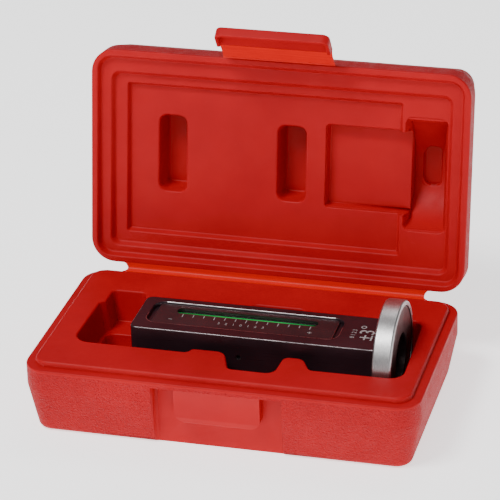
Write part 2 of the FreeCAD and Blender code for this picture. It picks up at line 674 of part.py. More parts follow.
def cap_screw():
    face = "sizes.bar_start + sizes.bar_length + sizes.cup_base + sizes.washer_thick"
    shank = x_cylinder("screw_shank", "sizes.screw_radius - 0.02", "sizes.screw_length",
                       face + " - sizes.screw_length", MID_Y, MID_Z)
    head = x_cylinder("screw_head_blank", "sizes.screw_head_radius", "sizes.screw_head", face, MID_Y, MID_Z)
    both = doc.addObject("Part::MultiFuse", "screw_blank")
    both.Shapes = [shank, head]
    key = doc.addObject("Part::Prism", "screw_key")
    key.Polygon = 6
    key.Placement = FreeCAD.Placement(V(0, 0, 0), FreeCAD.Rotation(V(0, 1, 0), 90))
    key.setExpression("Circumradius", "2.3")
    key.setExpression("Height", "3")
    key.setExpression(".Placement.Base.x", face + " + sizes.screw_head - 2")
    key.setExpression(".Placement.Base.y", MID_Y)
    key.setExpression(".Placement.Base.z", MID_Z)
    return cut_of("magnet_screw", both, key)


def dowels():
    items = []
    for name, shift in (("front", "-"), ("rear", "+")):
        items.append(x_cylinder(name + "_dowel", "sizes.dowel_radius", "sizes.dowel_length",
                                "sizes.bar_start + sizes.bar_length + sizes.cup_base - sizes.dowel_length",
                                MID_Y + " %s sizes.dowel_pitch / 2" % shift, MID_Z))
    group = doc.addObject("Part::Compound", "dowel_group")
    group.Links = items
    group.Label = "dowel_pins"
    return group


def grub_screws():
    items = []
    for name, turn, base in (
            ("front", 90, "sizes.gauge_mid_y - sizes.bar_width / 2 + 0.6 + sizes.grub_length"),
            ("rear", -90, "sizes.gauge_mid_y + sizes.bar_width / 2 - 0.6 - sizes.grub_length")):
        spots = []
        for kind in ("Part::Cylinder", "Part::Prism"):
            item = doc.addObject(kind, "%s_grub_%s" % (name, kind[6:].lower()))
            item.Placement = FreeCAD.Placement(V(0, 0, 0), FreeCAD.Rotation(X_AXIS, turn))
            item.setExpression(".Placement.Base.x", "sizes.grub_x")
            item.setExpression(".Placement.Base.z", MID_Z)
            spots.append(item)
        rod, key = spots
        key.Polygon = 6
        rod.setExpression("Radius", "sizes.grub_radius")
        rod.setExpression("Height", "sizes.grub_length")
        rod.setExpression(".Placement.Base.y", base)
        key.setExpression("Circumradius", "sizes.grub_radius * 0.55")
        key.setExpression("Height", "2")
        sign = "-" if name == "front" else "+"
        key.setExpression(".Placement.Base.y", base + " %s (sizes.grub_length - 1.6)" % sign)
        items.append(cut_of("grub_%s" % name, rod, key))
    group = doc.addObject("Part::Compound", "grub_group")
    group.Links = items
    group.Label = "trim_screws"
    return group


magnet_cup()
ring("ring_magnet", "sizes.magnet_outer", "sizes.magnet_inner",
     BACK_X + " + sizes.cup_base", "sizes.disc_thick - sizes.cup_base - sizes.magnet_sink")
cap_screw()
ring("lock_washer", "sizes.washer_radius", "sizes.screw_radius + 0.15",
     BACK_X + " + sizes.cup_base", "sizes.washer_thick")
dowels()
grub_screws()
doc.recompute()

NODES = [
    "case_base_shell", "case_base_tray", "hinge_web", "lid_shell", "lid_panel", "latch_web",
    "latch_flap", "gauge_bar", "camber_plate", "caster_plate", "camber_vial", "camber_vial_plugs",
    "camber_bubble", "caster_vial", "caster_vial_plugs", "caster_bubble", "magnet_cup",
    "ring_magnet", "magnet_screw", "lock_washer", "dowel_pins", "trim_screws",
]

for obj in doc.Objects:
    if "Invalid" in obj.State or "Error" in obj.State:
        raise RuntimeError("%s is in state %s" % (obj.Name, obj.State))

by_label = {}
for obj in doc.Objects:
    if obj.Label in NODES and hasattr(obj, "Shape"):
        by_label[obj.Label] = obj

for name in NODES:
    shape = by_label[name].Shape
    if shape.isNull() or not shape.isValid() or shape.Volume <= 0:
        raise RuntimeError("%s has no valid solid" % name)

for name in NODES:
    shape = by_label[name].Shape
    shape.exportStep(os.path.join("parts", name + ".step"))
    bounds = shape.BoundBox
    print("%-20s solids %d volume %.0f  x %.1f..%.1f  y %.1f..%.1f  z %.1f..%.1f" % (
        name, len(shape.Solids), shape.Volume, bounds.XMin, bounds.XMax,
        bounds.YMin, bounds.YMax, bounds.ZMin, bounds.ZMax))
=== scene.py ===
import math

import bmesh
import bpy
from mathutils import Matrix, Vector


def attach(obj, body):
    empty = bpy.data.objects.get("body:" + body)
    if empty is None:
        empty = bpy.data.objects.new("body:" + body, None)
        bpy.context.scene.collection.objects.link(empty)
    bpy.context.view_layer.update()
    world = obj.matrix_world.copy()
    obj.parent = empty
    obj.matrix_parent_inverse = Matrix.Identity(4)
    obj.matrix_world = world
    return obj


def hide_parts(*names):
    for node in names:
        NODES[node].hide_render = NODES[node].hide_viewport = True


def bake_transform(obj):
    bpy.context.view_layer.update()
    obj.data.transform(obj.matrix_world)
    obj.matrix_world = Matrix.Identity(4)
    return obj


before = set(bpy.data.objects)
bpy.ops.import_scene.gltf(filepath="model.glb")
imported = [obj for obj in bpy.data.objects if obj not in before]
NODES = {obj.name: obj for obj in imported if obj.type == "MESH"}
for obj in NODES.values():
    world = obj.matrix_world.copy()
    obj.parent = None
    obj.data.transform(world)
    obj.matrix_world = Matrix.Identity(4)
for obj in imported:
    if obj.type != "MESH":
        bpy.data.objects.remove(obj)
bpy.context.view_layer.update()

MM = 0.001

# Camera at the photograph's angle, in metres, radians and pixels
CAMERA_PLACE = (0.3635, -1.3179, 0.7569)
AZIMUTH, ELEVATION, ROLL = (math.radians(angle) for angle in (15.248, 25.911, -1.502))
FOCAL_PIXELS = 2777.017
PHOTO_PIXELS = 500.0
SENSOR_WIDTH = 36.0
NEAREST, FARTHEST = 0.05, 20.0

# Soft studio light and pale floor. A lamp has a name, place, size and power, in metres and watts
LAMPS = (("key", (-0.6, -0.8, 1.75), (0.7, 0.5), 32),
         ("high_front", (0.1, -1.5, 1.25), (0.7, 0.4), 4.5),
         ("right_side", (1.5, 0.15, 0.4), (0.6, 0.6), 2),
         ("overhead_back", (0.1, 0.9, 1.5), (0.8, 0.6), 4))
LAMPS_AIM = (0, 0.02, 0.07)
WORLD_COLOUR = (0.97, 0.98, 1.0, 1)
WORLD_STRENGTH = 0.2
FLOOR_REACH = 6.0
PAPER = {"Base Color": (0.95, 0.95, 0.95, 1), "Roughness": 0.9,
         "Emission Color": (1, 1, 1, 1), "Emission Strength": 1.4}

# Places shared with the solids, in millimetres as all the shapes below are: the case
HALF_DEPTH = 63.55
RIM = 40.0
PIVOT_Y = 67.0
LEAN = math.radians(8.9)
LID_GAP = 0.15
LID_FREE_EDGE = 127.1
LATCH_LEAN = math.radians(35.0)
LATCH_WEB_LENGTH = 12.3
RECESS_HALF_WIDTH = 36.6
RECESS_FRONT, RECESS_BACK = -62.6, -55.0

# The gauge
GAUGE_Y = -2.2
GAUGE_TOP = 50.2
GAUGE_LOW = 24.8
BAR_HALF_WIDTH = 19.0
DISC_Z = 37.5
PLATE_TOP = 49.3
PLATE_LOW = 25.7
PLATE_X = 0.6
PLATE_SHIFT = 1.3
POCKET_HALF_LENGTH = 54.5
POCKET_HALF_WIDTH = 12.3
POCKET_ROUND = 6.0
WINDOW_Y = 4.4
WINDOW_REGION = (-42.0, 43.0, 0.0, 9.0)
VIAL_LEFT, VIAL_RIGHT = -44.0, 45.0


def new_object(name, data):
    thing = bpy.data.objects.new(name, data)
    bpy.context.scene.collection.objects.link(thing)
    return thing


def aim_camera():
    ahead = Vector((-math.sin(AZIMUTH) * math.cos(ELEVATION),
                    math.cos(AZIMUTH) * math.cos(ELEVATION),
                    -math.sin(ELEVATION)))
    right = Vector((math.cos(AZIMUTH), math.sin(AZIMUTH), 0))
    up = right.cross(ahead)
    turned_right = right * math.cos(ROLL) + up * math.sin(ROLL)
    turned_up = up * math.cos(ROLL) - right * math.sin(ROLL)
    data = bpy.data.cameras.new("camera")
    data.sensor_width = SENSOR_WIDTH
    data.sensor_fit = "HORIZONTAL"
    data.lens = FOCAL_PIXELS / PHOTO_PIXELS * SENSOR_WIDTH
    data.clip_start = NEAREST
    data.clip_end = FARTHEST
    camera = new_object("camera", data)
    axes = Matrix((turned_right, turned_up, -ahead)).transposed().to_4x4()
    camera.matrix_world = Matrix.Translation(CAMERA_PLACE) @ axes
    bpy.context.scene.camera = camera


def hang_lamp(name, place, size, power):
    data = bpy.data.lights.new(name, "AREA")
    data.shape = "RECTANGLE"
    data.size, data.size_y = size
    data.energy = power
    aim = (Vector(LAMPS_AIM) - Vector(place)).to_track_quat("-Z", "Y")
    new_object(name, data).matrix_world = Matrix.Translation(place) @ aim.to_matrix().to_4x4()


def light_studio():
    world = bpy.data.worlds.new("studio")
    world.use_nodes = True
    background = world.node_tree.nodes["Background"]
    background.inputs["Color"].default_value = WORLD_COLOUR
    background.inputs["Strength"].default_value = WORLD_STRENGTH
    bpy.context.scene.world = world
    for lamp in LAMPS:
        hang_lamp(*lamp)


def lay_floor():
    mesh = bpy.data.meshes.new("floor")
    grid = bmesh.new()
    bmesh.ops.create_grid(grid, x_segments=1, y_segments=1, size=FLOOR_REACH)
    grid.to_mesh(mesh)
    grid.free()
    paper = bpy.data.materials.new("pale_paper")
    paper.use_nodes = True
    shader = paper.node_tree.nodes["Principled BSDF"]
    for socket, value in PAPER.items():
        shader.inputs[socket].default_value = value
    mesh.materials.append(paper)
    new_object("floor", mesh)


aim_camera()
light_studio()
lay_floor()


# Finishes
class Finish:
    """A material's node tree, with short ways to add the layers that every finish here has."""

    def __init__(self, name, roughness, metallic=0.0, specular=0.5, coat=0.0, coat_roughness=0.1,
                 ior=1.5):
        self.material = bpy.data.materials.new(name)
        self.material.use_nodes = True
        self.tree = self.material.node_tree
        self.shader = self.tree.nodes["Principled BSDF"]
        for socket, value in (("Roughness", roughness), ("Metallic", metallic),
                              ("Specular IOR Level", specular), ("Coat Weight", coat),
                              ("Coat Roughness", coat_roughness), ("IOR", ior)):
            self.shader.inputs[socket].default_value = value
        self.place = self.add("ShaderNodeTexCoord").outputs["Object"]
        self.bump = None

    def feed(self, target, source):
        """Joins another node's socket to an input, or sets the input to a value."""
        if isinstance(source, bpy.types.NodeSocket):
            self.tree.links.new(source, target)
        else:
            target.default_value = source

    def add(self, kind, inputs=None, **settings):
        node = self.tree.nodes.new(kind)
        for name, value in settings.items():
            setattr(node, name, value)
        for name, source in (inputs or {}).items():
            self.feed(node.inputs[name], source)
        return node

    def mapped(self, scale=(1, 1, 1), shift=(0, 0, 0), place=None):
        inputs = {"Vector": place or self.place, "Scale": scale, "Location": shift}
        return self.add("ShaderNodeMapping", inputs).outputs["Vector"]

    def noise(self, scale, detail=3.0, rough=0.55, place=None):
        inputs = {"Vector": place or self.place, "Scale": scale, "Detail": detail,
                  "Roughness": rough}
        return self.add("ShaderNodeTexNoise", inputs).outputs["Fac"]

    def cells(self, scale):
        inputs = {"Vector": self.place, "Scale": scale}
        return self.add("ShaderNodeTexVoronoi", inputs, feature="SMOOTH_F1").outputs["Distance"]

    def rings(self, scale, distortion, detail, place):
        """Rings about the X axis."""
        inputs = {"Vector": place, "Scale": scale, "Distortion": distortion, "Detail": detail}
        return self.add("ShaderNodeTexWave", inputs, wave_type="RINGS",
                        rings_direction="X").outputs["Fac"]

    def ramp(self, pattern, *stops):
        node = self.add("ShaderNodeValToRGB", {"Fac": pattern})
        elements = node.color_ramp.elements
        while len(elements) < len(stops):
            elements.new(0.5)
        for element, (position, colour) in zip(elements, stops):
            element.position = position
            element.color = (*colour, 1)
        return node.outputs["Color"]

    def shades(self, pattern, dark, light, start=0.3, end=0.7):
        return self.ramp(pattern, (start, dark), (end, light))

    def spread(self, pattern, low, high, start=0.3, end=0.7):
        """The pattern's values from start to end, made to run from low to high."""
        inputs = {"Value": pattern, "From Min": start, "From Max": end, "To Min": low,
                  "To Max": high}
        return self.add("ShaderNodeMapRange", inputs).outputs["Result"]

    def mixed(self, factor, body, extra):
        """The body's colours with one extra colour where factor says."""
        node = self.add("ShaderNodeMix", {"Factor": factor}, data_type="RGBA")
        first, second = (socket for socket in node.inputs if socket.type == "RGBA")
        self.feed(first, body)
        self.feed(second, (*extra, 1))
        return next(socket for socket in node.outputs if socket.type == "RGBA")

    def colour(self, source):
        self.feed(self.shader.inputs["Base Color"], source)

    def rough(self, source):
        self.feed(self.shader.inputs["Roughness"], source)

    def raise_by(self, pattern, strength, height):
        """Adds a bump of that height in millimetres to the bumps before it."""
        inputs = {"Height": pattern, "Strength": strength, "Distance": height * MM}
        if self.bump:
            inputs["Normal"] = self.bump
        self.bump = self.add("ShaderNodeBump", inputs).outputs["Normal"]
        self.feed(self.shader.inputs["Normal"], self.bump)


def moulded_red(name, dark, light, roughness, pebble=None):
    """Moulded plastic with faint scuffs, pebbled at the scale given or else smooth."""
    finish = Finish(name, roughness, specular=0.16)
    body = finish.shades(finish.noise(26.0, detail=4.0), dark, light)
    streaks = finish.noise(1.0, detail=4.0, rough=0.65, place=finish.mapped((210.0, 80.0, 340.0)))
    scuffs = finish.spread(streaks, 0.0, 0.12, start=0.64, end=0.8)
    finish.colour(finish.mixed(scuffs, body, (0.6, 0.07, 0.06)))
    finish.rough(finish.spread(finish.noise(150.0), roughness - 0.05, roughness + 0.08))
    finish.raise_by(finish.noise(45.0, detail=1.0), strength=0.1, height=0.5)
    if pebble:
        finish.raise_by(finish.noise(pebble, detail=2.0, rough=0.6), strength=1.0, height=1.3)
        finish.raise_by(finish.cells(pebble * 1.15), strength=0.6, height=0.4)
    else:
        finish.raise_by(finish.noise(900.0, detail=2.0), strength=0.12, height=0.05)
    return finish.material


def flexible_red():
    finish = Finish("web_red", 0.44, specular=0.2)
    streaks = finish.noise(1.0, place=finish.mapped((30.0, 900.0, 900.0)))
    # Paler than the case's red: painted light, standing in for light shining through the thin
    # web.
    finish.colour(finish.shades(streaks, (0.66, 0.005, 0.003), (0.78, 0.009, 0.005)))
    finish.rough(finish.spread(finish.noise(300.0), 0.38, 0.5))
    finish.raise_by(streaks, strength=0.25, height=0.1)
    return finish.material


def dark_anodised(name, tint):
    """Anodised metal drawn along X, a little paler where it is scuffed."""
    finish = Finish(name, 0.34, metallic=0.45)
    dark, light, bare = (tuple(part * share for part in tint) for share in (0.75, 1.35, 3.0))
    body = finish.shades(finish.noise(30.0), dark, light)
    scuffs = finish.spread(finish.noise(70.0, detail=6.0, rough=0.75), 0.0, 0.5, 0.66, 0.8)
    finish.colour(finish.mixed(scuffs, body, bare))
    lines = finish.noise(1.0, detail=4.0, place=finish.mapped((40.0, 2600.0, 2600.0)))
    finish.rough(finish.spread(lines, 0.26, 0.42))
    finish.raise_by(lines, strength=0.25, height=0.02)
    finish.raise_by(finish.noise(1500.0, detail=2.0), strength=0.2, height=0.02)
    return finish.material


# Pale metal that stands in for light: painted highlights along edges and rims, patchy along X.
def worn_edge(name, dull, bright):
    finish = Finish(name, 0.3, metallic=1.0)
    wear_and_sheen = finish.noise(1.0, detail=5.0, rough=0.7, place=finish.mapped((120.0, 900.0, 900.0)))
    finish.colour(finish.shades(wear_and_sheen, dull, bright, end=0.65))
    finish.rough(finish.spread(finish.noise(700.0), 0.24, 0.4))
    finish.raise_by(wear_and_sheen, strength=0.2, height=0.03)
    return finish.material


def turned_steel():
    """Steel with fine lathe rings about the disc's own axis."""
    finish = Finish("turned_steel", 0.36, metallic=1.0)
    centred = finish.mapped(shift=(0, -GAUGE_Y * MM, -DISC_Z * MM))
    rings = finish.rings(900.0, distortion=1.5, detail=3.0,
                         place=finish.mapped((0.25, 1, 1), place=centred))
    grain = finish.noise(1.0, detail=4.0, rough=0.7, place=finish.mapped((2400.0, 500.0, 500.0)))
    finish.colour(finish.shades(grain, (0.4, 0.385, 0.385), (0.62, 0.6, 0.6)))
    finish.rough(finish.spread(finish.noise(60.0), 0.32, 0.42))
    finish.raise_by(rings, strength=0.1, height=0.01)
    finish.raise_by(grain, strength=0.12, height=0.02)
    return finish.material


def sintered_magnet():
    finish = Finish("sintered_magnet", 0.36, metallic=0.6)
    spots = finish.noise(420.0, detail=5.0, rough=0.7)
    finish.colour(finish.shades(spots, (0.05, 0.032, 0.033), (0.13, 0.085, 0.085), end=0.72))
    finish.rough(finish.spread(finish.noise(90.0, detail=4.0), 0.26, 0.46))
    finish.raise_by(finish.noise(1600.0), strength=0.3, height=0.04)
    finish.raise_by(finish.noise(60.0), strength=0.15, height=0.3)
    return finish.material


def blackened_steel():
    finish = Finish("blackened_steel", 0.38, metallic=0.8)
    clouds = finish.noise(500.0, detail=4.0)
    finish.colour(finish.shades(clouds, (0.018, 0.018, 0.02), (0.06, 0.058, 0.06)))
    finish.rough(finish.spread(clouds, 0.28, 0.5))
    finish.raise_by(finish.noise(2600.0), strength=0.2, height=0.02)
    return finish.material


def ground_steel():
    finish = Finish("ground_steel", 0.25, metallic=1.0)
    lines = finish.noise(1.0, detail=4.0, place=finish.mapped((3000.0, 400.0, 400.0)))
    finish.colour(finish.shades(lines, (0.5, 0.5, 0.51), (0.72, 0.72, 0.73)))
    finish.rough(finish.spread(lines, 0.2, 0.36))
    finish.raise_by(lines, strength=0.2, height=0.02)
    return finish.material


def green_vial():
    """A tube of green liquid, brighter along its middle than towards its ends, which also gives
    off those colours as a painted glow.
    """
    finish = Finish("green_vial", 0.1, ior=1.47)
    parts = finish.add("ShaderNodeSeparateXYZ", {"Vector": finish.place})
    along = finish.spread(parts.outputs["X"], 0.0, 1.0, VIAL_LEFT * MM, VIAL_RIGHT * MM)
    glow = finish.ramp(along, (0.05, (0.002, 0.06, 0.012)), (0.32, (0.01, 0.34, 0.06)),
                       (0.72, (0.01, 0.36, 0.07)), (0.95, (0.002, 0.04, 0.01)))
    clouds = finish.spread(finish.noise(260.0), 0.0, 0.3)
    finish.colour(finish.mixed(clouds, glow, (0.02, 0.5, 0.1)))
    finish.rough(finish.spread(finish.noise(160.0), 0.08, 0.16))
    finish.raise_by(finish.noise(180.0), strength=0.04, height=0.1)
    # Painted glow: the liquid's colours are given off as light.
    finish.feed(finish.shader.inputs["Emission Color"], glow)
    finish.feed(finish.shader.inputs["Emission Strength"], 0.55)
    return finish.material


def pale_bubble():
    finish = Finish("pale_bubble", 0.08, coat=0.5, coat_roughness=0.03)
    clouds = finish.noise(400.0, detail=2.0)
    finish.colour(finish.shades(clouds, (0.4, 0.85, 0.5), (0.65, 1.0, 0.72)))
    finish.rough(finish.spread(clouds, 0.04, 0.12))
    finish.raise_by(clouds, strength=0.05, height=0.05)
    return finish.material


def black_plug():
    finish = Finish("black_plug", 0.6)
    clouds = finish.noise(600.0)
    finish.colour(finish.shades(clouds, (0.02, 0.02, 0.02), (0.05, 0.05, 0.05)))
    finish.rough(finish.spread(clouds, 0.5, 0.75))
    finish.raise_by(clouds, strength=0.2, height=0.05)
    return finish.material


def pale_ink():
    finish = Finish("pale_ink", 0.5)
    wear_and_sheen = finish.noise(1500.0, detail=4.0, rough=0.7)
    finish.colour(finish.shades(wear_and_sheen, (0.12, 0.11, 0.11), (0.42, 0.4, 0.4), start=0.25, end=0.6))
    finish.rough(finish.spread(wear_and_sheen, 0.4, 0.6))
    finish.raise_by(wear_and_sheen, strength=0.2, height=0.02)
    return finish.material


CASE_OUTSIDE = moulded_red("case_outside", (0.38, 0.002, 0.006), (0.47, 0.004, 0.009), 0.55,
                           pebble=950.0)
CASE_INSIDE = moulded_red("case_inside", (0.4, 0.002, 0.006), (0.48, 0.004, 0.008), 0.5)
WEB = flexible_red()
BAR = dark_anodised("bar_anodised", (0.034, 0.016, 0.022))
PLATE = dark_anodised("plate_anodised", (0.042, 0.026, 0.03))
# Painted highlights: a bright one for rim chamfers and the rim band, a softer one for the bar's
# long edges.
PAINTED_HIGHLIGHT = worn_edge("worn_edge", (0.14, 0.12, 0.125), (0.5, 0.46, 0.46))
PAINTED_SOFT_HIGHLIGHT = worn_edge("painted_soft_highlight_edge", (0.05, 0.04, 0.045), (0.2, 0.17, 0.175))
STEEL = turned_steel()
MAGNET = sintered_magnet()
BLACK_STEEL = blackened_steel()
PIN_STEEL = ground_steel()
VIAL = green_vial()
BUBBLE = pale_bubble()
PLUG = black_plug()
INK = pale_ink()

# Pieces: shared steps
WELD = 0.03
FLAT = math.radians(0.6)
SHARP = math.radians(24.0)


def finish_piece(name, shape, material, body, node=None, smooth=35.0):
    """Makes a shape a piece, which rides on the body when one is given."""
    mesh = bpy.data.meshes.new(name)
    shape.to_mesh(mesh)
    shape.free()
    for face in mesh.polygons:
        face.use_smooth = True
    mesh.set_sharp_from_angle(angle=math.radians(smooth))
    mesh.materials.append(material)
    piece = new_object(name, mesh)
    if body:
        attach(piece, body)
    if node:
        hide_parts(node)
    return piece


def merged_copy(node):
    """A CAD node's shape with its loose triangles merged into whole faces."""
    shape = bmesh.new()
    shape.from_mesh(NODES[node].data)
    bmesh.ops.remove_doubles(shape, verts=shape.verts, dist=WELD * MM)
    bmesh.ops.dissolve_degenerate(shape, dist=WELD * MM, edges=shape.edges)
    bmesh.ops.dissolve_limit(shape, angle_limit=FLAT, verts=shape.verts, edges=shape.edges)
    return shape


def ease(shape, width, chosen=lambda edge: True, segments=2, clamp=True):
    """Bevels those of the chosen edges that are sharp."""
    edges = [edge for edge in shape.edges if len(edge.link_faces) == 2
             and edge.calc_face_angle(0.0) > SHARP and chosen(edge)]
    bmesh.ops.bevel(shape, geom=edges, offset=width * MM, offset_type="OFFSET",
                    segments=segments, profile=0.5, affect="EDGES", material=-1,
                    clamp_overlap=clamp)


def even_shading(piece):
    piece.modifiers.new("even_shading", "WEIGHTED_NORMAL").keep_sharp = True


def smoothed_piece(node, material, body, smooth=58.0):
    """A CAD node with smooth shading over its rounds."""
    piece = finish_piece(node + "_moulded", merged_copy(node), material, body, node, smooth)
    even_shading(piece)
    return piece


def eased_piece(node, width, material, body):
    """A CAD node with all its sharp edges eased."""
    shape = merged_copy(node)
    ease(shape, width)
    even_shading(finish_piece(node + "_eased", shape, material, body, node))


def refinish(piece, material, chosen):
    """Gives a second material to the faces that chosen picks by their middle and direction."""
    piece.data.materials.append(material)
    for face in piece.data.polygons:
        if chosen(face.center / MM, face.normal):
            face.material_index = len(piece.data.materials) - 1


# Case: outer walls pebbled, catch recess and inner walls smooth
def in_recess(spot, way):
    return abs(spot.x) < RECESS_HALF_WIDTH and RECESS_FRONT < spot.y < RECESS_BACK


shell = smoothed_piece("case_base_shell", CASE_OUTSIDE, "base", smooth=40.0)
refinish(shell, CASE_INSIDE, in_recess)
smoothed_piece("case_base_tray", CASE_INSIDE, "base")
smoothed_piece("lid_shell", CASE_OUTSIDE, "lid", smooth=40.0)
smoothed_piece("lid_panel", CASE_INSIDE, "lid")
eased_piece("latch_flap", 0.5, CASE_INSIDE, "latch")

# Gauge: bar and plates with painted highlights along their edges, and the disc
POCKET_REGION_X = (-58.0, 60.0)
POCKET_RIMS = ((0.5, -13.0, 14.5), (0.25, -18.0, -13.0))
PLATE_RIM = 0.3
STRAIGHT_RIM = 30.0


def at_height(edge, level):
    return all(abs(vert.co.z / MM - level) < 0.02 for vert in edge.verts)


def within(edge, x_low, x_high, y_low, y_high):
    return all(x_low < vert.co.x / MM < x_high and y_low < vert.co.y / MM < y_high
               for vert in edge.verts)


def slanting(way, steep=0.3, flat=0.95):
    return steep < abs(way.z) < flat


def worn_bar(spot, way):
    """The chamfers along the straight rims of the bar's plate pockets, which get a painted
    highlight.
    """
    return (slanting(way) and abs(spot.x - PLATE_X) < STRAIGHT_RIM
            and abs(spot.y - GAUGE_Y) < BAR_HALF_WIDTH - 1.0)


def rubbed_bar(spot, way):
    """The small round along the bar's long edges, which gets a softer painted highlight."""
    return slanting(way, 0.1, 0.98) and abs(spot.y - GAUGE_Y) > BAR_HALF_WIDTH - 0.6


# The plates' rim chamfers, which get a painted highlight.
def worn_plate(spot, way):
    return slanting(way)


def rimmed_piece(node, rims, highlit, material):
    """A gauge piece whose chosen rims get a plain chamfer, and a painted highlight on the chosen
    bright faces.
    """
    shape = merged_copy(node)
    for width, chosen in rims:
        ease(shape, width, chosen, segments=1, clamp=False)
    piece = finish_piece(node + "_rimmed", shape, material, "gauge", node)
    refinish(piece, PAINTED_HIGHLIGHT, highlit)
    even_shading(piece)
    return piece


def pocket_rim(level, y_low, y_high):
    return lambda edge: at_height(edge, level) and within(edge, *POCKET_REGION_X, y_low, y_high)


def plate_rim(level):
    return lambda edge: at_height(edge, level) and not within(edge, *WINDOW_REGION)


bar = rimmed_piece("gauge_bar", [(width, pocket_rim(level, y_low, y_high))
                                 for level in (GAUGE_TOP, GAUGE_LOW)
                                 for width, y_low, y_high in POCKET_RIMS],
                   worn_bar, BAR)
# Softer painted highlight on the bar's long edge rounds.
refinish(bar, PAINTED_SOFT_HIGHLIGHT, rubbed_bar)
for node, level in (("camber_plate", PLATE_TOP), ("caster_plate", PLATE_LOW)):
    rimmed_piece(node, [(PLATE_RIM, plate_rim(level))], worn_plate, PLATE)
eased_piece("magnet_cup", 0.3, STEEL, "gauge")
eased_piece("ring_magnet", 0.4, MAGNET, "gauge")
for material, nodes in ((VIAL, ("camber_vial", "caster_vial")),
                        (BUBBLE, ("camber_bubble", "caster_bubble")),
                        (PLUG, ("camber_vial_plugs", "caster_vial_plugs")),
                        (BLACK_STEEL, ("magnet_screw", "trim_screws")),
                        (PIN_STEEL, ("lock_washer", "dowel_pins"))):
    for node in nodes:
        NODES[node].data.materials.clear()
        NODES[node].data.materials.append(material)


def laid_skin(columns, rows, place, thickness, facing=None):
    """A grid whose crossings lie where place(column, row) says, then given its thickness."""
    shape = bmesh.new()
    bmesh.ops.create_grid(shape, x_segments=columns, y_segments=rows, size=1.0)
    for vert in shape.verts:
        across, along = (vert.co.x + 1) / 2, (vert.co.y + 1) / 2
        vert.co = Vector(place(round(across * columns), round(along * rows))) * MM
    bmesh.ops.recalc_face_normals(shape, faces=shape.faces)
    if facing and sum(face.normal.dot(facing) for face in shape.faces) < 0:
        bmesh.ops.reverse_faces(shape, faces=shape.faces)
    bmesh.ops.solidify(shape, geom=shape.faces, thickness=thickness * MM)
    bmesh.ops.recalc_face_normals(shape, faces=shape.faces)
    return shape


# Thin flexible webs: strips bent along a line of places, each with its Y and Z
STRIP_COLUMNS, STRIP_ROWS = 64, 18
HINGE_STRIP = {"half_width": 90.4, "scoop": 2.4, "thickness": 0.7}
HINGE_BEND = 2.2
HINGE_CORNER = (PIVOT_Y + 0.5, RIM - 0.35)
HINGE_STRIP_DEPTH = 0.45
LATCH_STRIP = {"half_width": 32.6, "scoop": 0.5, "thickness": 0.75}
LATCH_BEND = 0.6
LATCH_STRIP_DEPTH = 0.65
LATCH_STRIP_OUT = 0.8
STRIP_INSET = 0.4


def bent_strip(line, half_width, scoop, thickness):
    """A strip along the line, narrower by scoop at its middle."""
    spots = [Vector(spot) for spot in line]
    lengths = [0.0]
    for spot, following in zip(spots, spots[1:]):
        lengths.append(lengths[-1] + (following - spot).length)

    def place(column, row):
        share = row / STRIP_ROWS
        reach = share * lengths[-1]
        run = max(k for k in range(len(spots) - 1) if lengths[k] <= reach + 1e-9)
        part = (reach - lengths[run]) / (lengths[run + 1] - lengths[run])
        y, z = spots[run].lerp(spots[run + 1], min(part, 1.0))
        half = half_width - scoop * math.sin(math.pi * share) ** 0.6
        return (2.0 * column / STRIP_COLUMNS - 1.0) * half, y, z

    return laid_skin(STRIP_COLUMNS, STRIP_ROWS, place, thickness)


def rounded_line(first, corner, last, radius, steps=9):
    """From first to last by way of the corner, which is rounded from radius away on each side."""
    first, corner, last = Vector(first), Vector(corner), Vector(last)
    start = corner + (first - corner).normalized() * radius
    end = corner + (last - corner).normalized() * radius
    shares = [step / steps for step in range(steps + 1)]
    bend = [start.lerp(corner, share).lerp(corner.lerp(end, share), share) for share in shares]
    return [first] + bend + [last]


def on_lid(vee, depth):
    """Y and Z of a place on the open lid, from its hinge edge and its depth."""
    up, back = vee + PIVOT_Y - HALF_DEPTH, depth + LID_GAP
    return (PIVOT_Y + math.sin(LEAN) * up + math.cos(LEAN) * back,
            RIM + math.cos(LEAN) * up - math.sin(LEAN) * back)


def on_latch(reach, out):
    """Y and Z of a place on the open latch, along the flap and outwards from its inner face."""
    y, z = on_lid(LID_FREE_EDGE, 0.0)
    return (y + math.cos(LATCH_LEAN) * out - math.sin(LATCH_LEAN) * reach,
            z + math.sin(LATCH_LEAN) * out + math.cos(LATCH_LEAN) * reach)


def make_hinge_web():
    line = rounded_line((HALF_DEPTH - STRIP_INSET, RIM - STRIP_INSET), HINGE_CORNER,
                        on_lid(STRIP_INSET, HINGE_STRIP_DEPTH), HINGE_BEND)
    piece = finish_piece("hinge_web_strip", bent_strip(line, **HINGE_STRIP), WEB, None,
                         "hinge_web", smooth=50.0)
    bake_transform(piece)


def make_latch_web():
    line = rounded_line(on_lid(LID_FREE_EDGE - STRIP_INSET, LATCH_STRIP_DEPTH),
                        on_latch(0.1, LATCH_STRIP_OUT),
                        on_latch(LATCH_WEB_LENGTH + STRIP_INSET, LATCH_STRIP_OUT), LATCH_BEND)
    piece = finish_piece("latch_web_strip", bent_strip(line, **LATCH_STRIP), WEB, None,
                         "latch_web", smooth=50.0)
    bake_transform(piece)


make_hinge_web()
make_latch_web()

# Smooth curved floor of the lid's ring pocket, round an axis along X
RING_X = 84.6
RING_RADIUS = 33.9
RING_MIDDLE = HALF_DEPTH - GAUGE_Y
RING_CENTRE_DEPTH = DISC_Z - RIM - LID_GAP
RING_TURN = math.radians(71.5)
RING_HALF_WIDTH = 9.98
RING_FLARE_DEPTH = 15.0
RING_FLARE = 0.24
RING_FLARE_STEP = 0.2
RING_END_REACH = 1.2
RING_THICKNESS = 0.08
RING_COLUMNS, RING_STEPS = 56, 190

